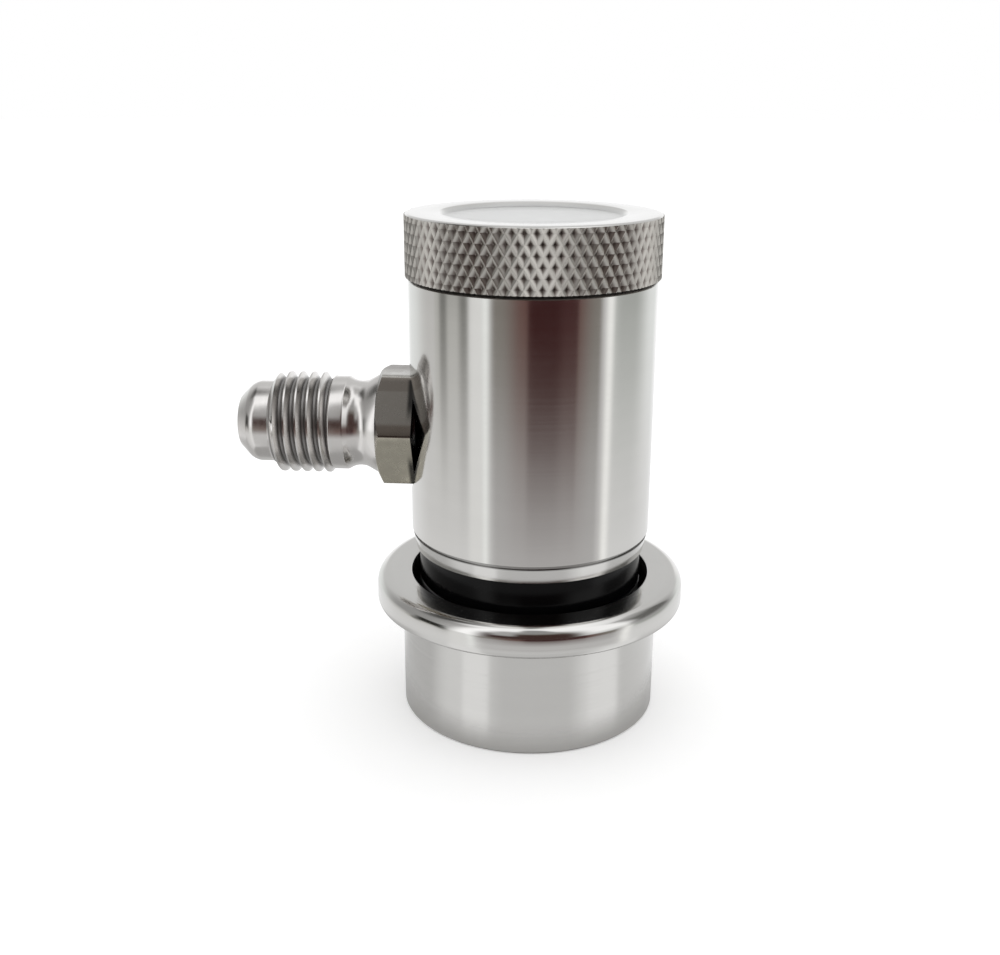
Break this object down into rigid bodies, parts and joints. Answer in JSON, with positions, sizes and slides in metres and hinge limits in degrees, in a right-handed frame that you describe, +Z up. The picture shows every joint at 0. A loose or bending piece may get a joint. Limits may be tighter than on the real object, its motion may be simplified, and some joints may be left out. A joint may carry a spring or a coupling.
{
  "type": "ball lock disconnect",
  "caption": "Stainless ball lock quick disconnect with a knurled screw cap, side flare outlet, black band and a sliding flanged release collar.",
  "frame": {"origin": "on the barrel's axis, in the plane of the collar's lower rim, which the part stands on", "axes": "+Z up along the barrel towards the cap, -X along the side outlet, +Y away from the viewer"},
  "size_m": [0.0492, 0.0344, 0.0556],
  "materials": {
    "polished_stainless": "fine turned stainless steel, polished bright",
    "knurled_stainless": "diamond knurled rim, bright rim face and satin recess",
    "turned_stainless": "turned stainless steel with fine tool lines",
    "spring_wire": "drawn stainless spring steel",
    "ball_steel": "ground and polished stainless balls",
    "black_rubber": "black rubber, slightly sheeny",
    "black_plastic": "black moulded plastic, semi-gloss"
  },
  "bodies": {
    "barrel": {"valve_body": "polished_stainless", "outlet_fitting": "turned_stainless", "outlet_o_ring": "black_rubber", "id_band": "black_plastic", "snap_ring": "spring_wire", "collar_spring": "spring_wire", "valve_spring": "spring_wire"},
    "collar": {"collar": "polished_stainless"},
    "poppet": {"poppet": "turned_stainless", "poppet_seal": "black_rubber"},
    "cap_seal": {"cap_o_ring": "black_rubber"},
    "cap": {"cap": "knurled_stainless"},
    "lock_ball_1": {"ball_1": "ball_steel"},
    "lock_ball_2": {"ball_2": "ball_steel"},
    "lock_ball_3": {"ball_3": "ball_steel"},
    "lock_ball_4": {"ball_4": "ball_steel"},
    "lock_ball_5": {"ball_5": "ball_steel"},
    "lock_ball_6": {"ball_6": "ball_steel"}
  },
  "joints": [
    {"name": "collar_lift", "type": "slide", "parent": "barrel", "child": "collar", "axis": [0, 0, 1], "range_m": [0, 0.003], "stiffness_N_per_m": 1500, "springref_m": -0.006, "deforming": ["collar_spring"]},
    {"name": "poppet_lift", "type": "slide", "parent": "barrel", "child": "poppet", "axis": [0, 0, 1], "range_m": [0, 0.0025], "stiffness_N_per_m": 500, "springref_m": -0.004, "deforming": ["valve_spring"]},
    {"name": "cap_rise", "type": "slide", "parent": "barrel", "child": "cap_seal", "axis": [0, 0, 1], "range_m": [0, 0.0045]},
    {"name": "cap_turn", "type": "hinge", "parent": "cap_seal", "child": "cap", "pos_m": [0, 0, 0.0489], "axis": [0, 0, 1], "range_deg": [0, 1620]},
    {"name": "ball_1_out", "type": "slide", "parent": "barrel", "child": "lock_ball_1", "axis": [0.866, 0.5, 0], "range_m": [0, 0.0009]},
    {"name": "ball_2_out", "type": "slide", "parent": "barrel", "child": "lock_ball_2", "axis": [0, 1, 0], "range_m": [0, 0.0009]},
    {"name": "ball_3_out", "type": "slide", "parent": "barrel", "child": "lock_ball_3", "axis": [-0.866, 0.5, 0], "range_m": [0, 0.0009]},
    {"name": "ball_4_out", "type": "slide", "parent": "barrel", "child": "lock_ball_4", "axis": [-0.866, -0.5, 0], "range_m": [0, 0.0009]},
    {"name": "ball_5_out", "type": "slide", "parent": "barrel", "child": "lock_ball_5", "axis": [0, -1, 0], "range_m": [0, 0.0009]},
    {"name": "ball_6_out", "type": "slide", "parent": "barrel", "child": "lock_ball_6", "axis": [0.866, -0.5, 0], "range_m": [0, 0.0009]}
  ],
  "couplings": [
    {"joint": "ball_1_out", "follows": "collar_lift", "ratio": 0.3},
    {"joint": "ball_2_out", "follows": "collar_lift", "ratio": 0.3},
    {"joint": "ball_3_out", "follows": "collar_lift", "ratio": 0.3},
    {"joint": "ball_4_out", "follows": "collar_lift", "ratio": 0.3},
    {"joint": "ball_5_out", "follows": "collar_lift", "ratio": 0.3},
    {"joint": "ball_6_out", "follows": "collar_lift", "ratio": 0.3},
    {"joint": "cap_rise", "follows": "cap_turn", "m_per_rad": 0.00015915}
  ]
}
